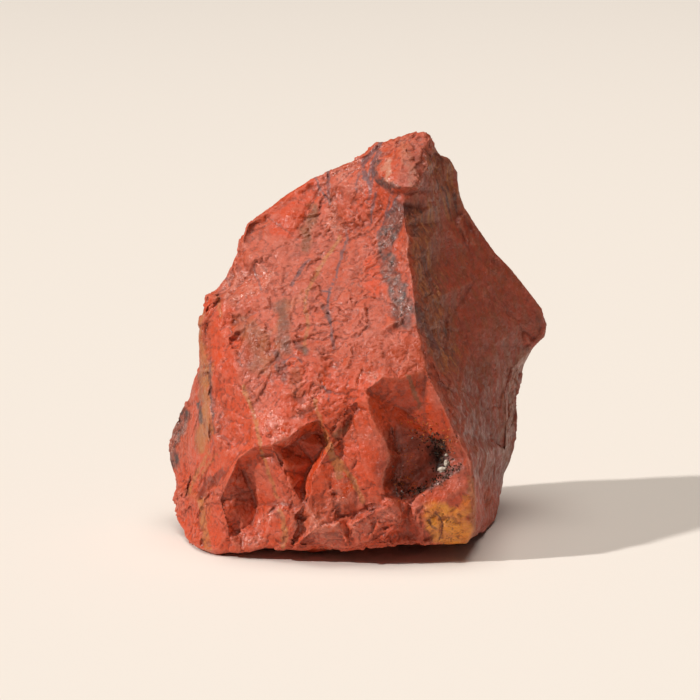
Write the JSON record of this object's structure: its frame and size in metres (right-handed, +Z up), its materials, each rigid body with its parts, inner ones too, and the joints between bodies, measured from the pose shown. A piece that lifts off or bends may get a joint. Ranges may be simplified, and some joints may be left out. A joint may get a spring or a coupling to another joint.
{
  "type": "rough red jasper stone",
  "caption": "Angular chunk of rough red jasper with broken faces, a sharp front edge and a crystal-lined pit, resting on a flat spot.",
  "frame": {"origin": "on the surface that the stone rests on, below the middle of its box", "axes": "+Z up from the flat spot that the stone rests on; the face that the picture shows looks along -Y"},
  "size_m": [0.0678, 0.0516, 0.0698],
  "materials": {
    "jasper_stone": "rough broken, dull with waxy spots",
    "druse_crust": "fine sparkling crystals"
  },
  "bodies": {
    "root": {"jasper_stone": "jasper_stone", "druse_crust": "druse_crust"}
  },
  "joints": []
}
